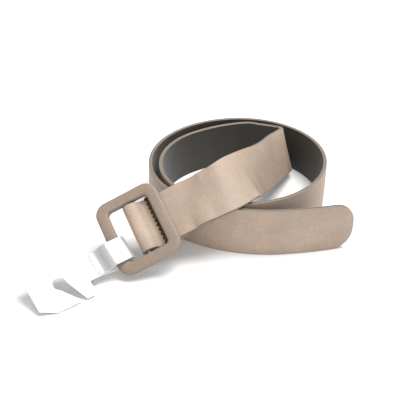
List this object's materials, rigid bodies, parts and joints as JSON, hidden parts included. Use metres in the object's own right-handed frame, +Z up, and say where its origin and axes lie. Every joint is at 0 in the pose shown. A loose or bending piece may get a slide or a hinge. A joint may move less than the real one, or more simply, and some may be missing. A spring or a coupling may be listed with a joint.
{
  "type": "waist belt",
  "caption": "Leather waist belt coiled on its edge, with a covered slide buckle and a looped hanger tag.",
  "frame": {"origin": "middle of the whole object's box in X and Y, on the surface that the strap stands on", "axes": "+X to the right of someone who faces the buckle, +Y away from them, +Z up"},
  "size_m": [0.231, 0.2129, 0.0629],
  "materials": {
    "strap_leather": "fine-grained taupe leather, satin",
    "lining_leather": "dark brown lining, matt",
    "buckle_leather": "fine-grained taupe leather, satin",
    "stiffener": "matt board",
    "frame_plastic": "moulded, matt",
    "bar_steel": "drawn wire",
    "clamp_metal": "dark bronze plating",
    "hanger_plastic": "white front, silver-grey reverse"
  },
  "bodies": {
    "strap": {"strap_face": "strap_leather", "strap_core": "stiffener", "strap_lining": "lining_leather", "toothed_clamp": "clamp_metal"},
    "buckle": {"centre_bar": "bar_steel", "frame_core": "frame_plastic", "frame_cover_front": "buckle_leather", "frame_cover_back": "buckle_leather"},
    "hanger": {"hanger": "hanger_plastic"}
  },
  "joints": [
    {"name": "buckle_turn", "type": "hinge", "parent": "strap", "child": "buckle", "pos_m": [-0.03909, -0.04409, 0.02538], "axis": [0.4284, -0.7688, -0.4747], "range_deg": [0, 75]},
    {"name": "hanger_swing", "type": "hinge", "parent": "buckle", "child": "hanger", "pos_m": [-0.05258, -0.05704, 0.01375], "axis": [-0.4284, 0.7688, 0.4747], "range_deg": [-25, 60]}
  ]
}
